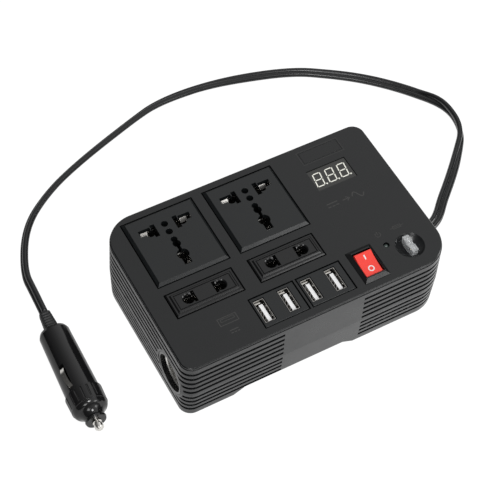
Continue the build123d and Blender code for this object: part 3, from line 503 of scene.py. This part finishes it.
def deck_marks():
    """Generic signs where the real deck has its printing."""
    wave = [(50.6 + 7.0 * n / 30, 6.8 + 2.2 * sin(2 * pi * n / 30)) for n in range(31)]
    arrow = [([(44.4, 6.8), (48.4, 6.8)], 0.55, False),
             ([(46.9, 8.2), (48.7, 6.8), (46.9, 5.4)], 0.55, False)]
    mark("conversion_sign", direct_current(38.4, 6.8, 6.6, 0.65) + arrow + [(wave, 0.65, False)],
         "upper_cover", PRINT)
    mark("power_sign", [(arc(49.4, -21.3, 1.5, 125, 290), 0.35, False),
                        ([(49.4, -21.1), (49.4, -19.2)], 0.35, False)],
         "upper_cover", PRINT)
    mark("fuse_sign", [(rectangle(61.2, -21.2, 4.6, 1.7), 0.3, True),
                       ([(57.0, -21.2), (65.4, -21.2)], 0.3, False)],
         "upper_cover", PRINT)
    port = [(rectangle(-46.4, -31.6, 10.4, 4.4), 0.4, True), (rectangle(-46.4, -31.0, 7.6, 1.5), 0.3, True)]
    mark("port_sign", port + direct_current(-46.2, -38.8, 5.0, 0.5), "upper_cover", PRINT)
    mark("label_outline", [(rectangle(50.5, 41.2, 25.4, 9.2), 0.22, True)], "upper_cover", PRINT,
         height=0.015)


def rocker_marks():
    """The signs for on, at the raised back end, and off, at the pressed front end."""
    low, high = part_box("rocker")
    x, y, depth = (low.x + high.x) / 2 / MM, (low.y + high.y) / 2 / MM, (high.y - low.y) / MM
    bar = [(x, y + depth * (0.17 + 0.18 * n / 6)) for n in range(7)]
    mark("on_sign", [(bar, 0.75, False)], "rocker", WHITE_PRINT, body="rocker")
    mark("off_sign", [(arc(x, y - depth * 0.23, 1.45), 0.62, True)], "rocker", WHITE_PRINT, body="rocker")


deck_marks()
rocker_marks()


# ---------------------------------------------------------------- USB fittings
def plate(low, high):
    """Points and faces of a small block, for joining into one piece."""
    xs, ys, zs = zip(low, high)
    points = [Vector((x, y, z)) for z in zs for y in ys for x in xs]
    faces = [(0, 2, 3, 1), (4, 5, 7, 6), (0, 1, 5, 4), (2, 6, 7, 3), (0, 4, 6, 2), (1, 3, 7, 5)]
    return points, faces


def joined(name, solids, material, body="root", round_mm=0.0, smooth=False):
    """One piece made of several small solids, with its edges rounded a little."""
    points, faces = [], []
    for part_points, part_faces in solids:
        start = len(points)
        points += part_points
        faces += [tuple(start + k for k in face) for face in part_faces]
    piece = mesh_piece(name, points, faces, material, body, smooth)
    if round_mm:
        rounded(piece, round_mm)
    return piece


USB_CONTACTS, CONTACT_HALF_W, CONTACT_PITCHES = 4, 0.55 * MM, 4.6
SHELL_WALL = 0.3 * MM
SPRING_SPREAD, SPRING_W, SPRING_LENGTH, SPRING_DEPTH = 3.1 * MM, 2.0 * MM, 6.0 * MM, 0.9 * MM


def usb_contacts():
    """Contacts on the left face of each tongue."""
    contacts = []
    for low, high in solids_of("usb_tongues"):
        pitch = (high.y - low.y) / CONTACT_PITCHES
        for n in range(USB_CONTACTS):
            y = (low.y + high.y) / 2 + (n - (USB_CONTACTS - 1) / 2) * pitch
            contacts.append(plate((low.x - 0.12 * MM, y - CONTACT_HALF_W, high.z - 7 * MM),
                                  (low.x + 0.10 * MM, y + CONTACT_HALF_W, high.z - 0.25 * MM)))
    # These contacts carry painted shade: their dark colour stands in for the shade inside the ports.
    joined("usb_contacts", contacts, CONTACT, round_mm=0.08)


def usb_shell_details():
    """Each shell's spring leaves and the folded tab at its back edge."""
    springs, tabs = [], []
    for low, high in solids_of("usb_shells"):
        left, right, back = low.x + SHELL_WALL, high.x - SHELL_WALL, high.y - SHELL_WALL
        tabs.append(plate((left, back - 1.15 * MM, high.z - 1.5 * MM),
                          (left + 3.6 * MM, back - 0.25 * MM, high.z - 1.3 * MM)))
        for n in (-1, 1):
            y = (low.y + high.y) / 2 + n * SPRING_SPREAD
            for x, bow in ((right, -0.5 * MM), (left, 0.3 * MM)):
                top = Vector((x, y, high.z - SPRING_DEPTH))
                springs.append(leaf(top, SPRING_W, SPRING_LENGTH, bow))
    joined("usb_spring_leaves", springs, DARK_NICKEL, smooth=True)
    joined("usb_folded_tabs", tabs, NICKEL, round_mm=0.06)


def leaf(top, width, length, bow):
    """A thin bowed strip that hangs down from a point on a wall, bowing along X."""
    thick, steps = 0.15 * MM, 10
    rings = []
    for n in range(steps + 1):
        share = n / steps
        x = top.x + bow * sin(pi * share)
        z = top.z - length * share
        rings.append([Vector((x + sx * thick / 2, top.y + sy * width / 2, z))
                      for sx, sy in ((-1, -1), (1, -1), (1, 1), (-1, 1))])
    return skin(rings)


usb_contacts()
usb_shell_details()


# ---------------------------------------------------------------- outlet contacts
def sloped_tab(x, width, low, high, thick):
    """A thin tab across X that slopes from one (y, z) to another."""
    along = Vector((0, high[0] - low[0], high[1] - low[1])).normalized()
    out = Vector((0, -along.z, along.y)) * thick
    rings = []
    for y, z in (low, high):
        base = Vector((0, y, z))
        rings.append([base + Vector((x + side * width / 2, 0, 0)) + shift
                      for side, shift in ((-1, Vector()), (1, Vector()), (1, out), (-1, out))])
    return skin(rings)


LEAD_IN_W, LEAD_IN_SHIFT, LEAD_IN_SHEET = 4.0 * MM, 1.4 * MM, 0.3 * MM


def contact_lead_ins():
    """Flared tops of the flat spring contacts, which show inside the outlets' upper slots."""
    tabs = []
    for name in ("universal_contacts_left", "universal_contacts_right"):
        leaves = sorted(solids_of(name), key=lambda box: box[1].y)[-2:]
        for low, high in leaves:
            middle = (low.x + high.x) / 2
            side = 1 if middle > sum(box[0].x + box[1].x for box in leaves) / 4 else -1
            x = middle + side * LEAD_IN_SHIFT
            tabs.append(sloped_tab(x, LEAD_IN_W, (high.y - 2.6 * MM, high.z - 1.0 * MM),
                                   (high.y - 0.4 * MM, high.z + 0.9 * MM), LEAD_IN_SHEET))
    joined("universal_contact_lead_ins", tabs, DARK_NICKEL, round_mm=0.06)


contact_lead_ins()


# ---------------------------------------------------------------- floor and light
FLOOR_HALF, FLOOR_DROP = 3.0, 0.05 * MM
FLOOR_WHITE = 0.97
BOUNCE_SPAN, BOUNCE = (-0.14, 0.10), (0.56, 1.08)     # from the back left to the front right


def floor_material():
    """Looks evenly white to the camera, and gives the object a softer light, more from the front right."""
    made, principled = shader("floor")
    principled.inputs["Base Color"].default_value = (0.12, 0.12, 0.12, 1)
    principled.inputs["Roughness"].default_value = 0.9
    principled.inputs["Emission Color"].default_value = (1, 1, 1, 1)
    nodes, links = made.node_tree.nodes, made.node_tree.links
    seen = nodes.new("ShaderNodeLightPath")
    coords = nodes.new("ShaderNodeTexCoord")
    split = nodes.new("ShaderNodeSeparateXYZ")
    links.new(coords.outputs["Object"], split.inputs["Vector"])
    sideways = nodes.new("ShaderNodeMath")
    sideways.operation = "SUBTRACT"
    links.new(split.outputs["X"], sideways.inputs[0])
    links.new(split.outputs["Y"], sideways.inputs[1])
    bounced = ranged(nodes, links, sideways.outputs["Value"], BOUNCE_SPAN, BOUNCE)
    level = nodes.new("ShaderNodeMix")
    level.inputs["B"].default_value = FLOOR_WHITE
    links.new(seen.outputs["Is Camera Ray"], level.inputs["Factor"])
    links.new(bounced, level.inputs["A"])
    links.new(level.outputs["Result"], principled.inputs["Emission Strength"])
    return made


def floor():
    """A large pale floor just under the object."""
    data = bpy.data.meshes.new("floor")
    data.from_pydata([(x * FLOOR_HALF, y * FLOOR_HALF, 0) for x, y in ((-1, -1), (1, -1), (1, 1), (-1, 1))],
                     [], [(0, 1, 2, 3)])
    data.materials.append(floor_material())
    ground = bpy.data.objects.new("floor", data)
    ground.location.z = -FLOOR_DROP
    scene.collection.objects.link(ground)


def softbox(name, at, aim, width, height, power):
    """A rectangular light turned towards a point."""
    lamp = bpy.data.lights.new(name, "AREA")
    lamp.shape = "RECTANGLE"
    lamp.size, lamp.size_y = width, height
    lamp.energy = power
    holder = bpy.data.objects.new(name, lamp)
    holder.location = at
    holder.rotation_mode = "QUATERNION"
    holder.rotation_quaternion = (Vector(aim) - Vector(at)).to_track_quat("-Z", "Y")
    scene.collection.objects.link(holder)


def grey_ramp(nodes, stops):
    """A ramp node through (position, grey) stops."""
    ramp = nodes.new("ShaderNodeValToRGB")
    elements = ramp.color_ramp.elements
    while len(elements) < len(stops):
        elements.new(0.5)
    for element, (position, grey) in zip(elements, stops):
        element.position = position
        element.color = (grey, grey, grey, 1)
    return ramp


HEIGHT_STOPS = [(0.0, 0.10), (0.05, 0.10), (0.45, 1.0), (1.0, 1.0)]
ACROSS_STOPS = [(0.10, 0.06), (0.30, 0.20), (0.50, 0.45), (0.66, 0.72), (0.87, 1.0), (0.89, 0.05),
                (1.0, 0.05)]


def surroundings():
    """A room, dim low down and on the left. Its pale ceiling brightens to the right and ends there."""
    room = bpy.data.worlds.new("room")
    scene.world = room
    room.use_nodes = True
    nodes, links = room.node_tree.nodes, room.node_tree.links
    coords = nodes.new("ShaderNodeTexCoord")
    split = nodes.new("ShaderNodeSeparateXYZ")
    links.new(coords.outputs["Generated"], split.inputs["Vector"])
    height = grey_ramp(nodes, HEIGHT_STOPS)
    links.new(split.outputs["Z"], height.inputs["Fac"])
    shift = nodes.new("ShaderNodeMath")
    shift.operation = "MULTIPLY_ADD"
    shift.inputs[1].default_value = 0.5
    shift.inputs[2].default_value = 0.5
    links.new(split.outputs["X"], shift.inputs[0])
    across = grey_ramp(nodes, ACROSS_STOPS)
    links.new(shift.outputs["Value"], across.inputs["Fac"])
    product = nodes.new("ShaderNodeMix")
    product.data_type = "RGBA"
    product.blend_type = "MULTIPLY"
    product.inputs["Factor"].default_value = 1.0
    links.new(height.outputs["Color"], product.inputs["A"])
    links.new(across.outputs["Color"], product.inputs["B"])
    links.new(product.outputs["Result"], nodes["Background"].inputs["Color"])


SOFTBOXES = [       # name, place, the point that it faces, width, height, watts
    ("front left", (-0.50, -0.62, 0.60), (-0.02, 0.0, 0.02), 0.30, 0.30, 1.4),
    ("front right", (0.42, -0.72, 0.55), (0.0, 0.0, 0.02), 0.26, 0.30, 1.0),
    ("right", (0.93, -0.30, 0.22), (0.0, 0.0, 0.02), 0.24, 0.26, 1.6),
    ("beside the camera", (-0.12, -0.34, 0.80), (0.0, 0.0, 0.02), 0.20, 0.20, 2.4),
]

floor()
surroundings()
for box in SOFTBOXES:
    softbox(*box)
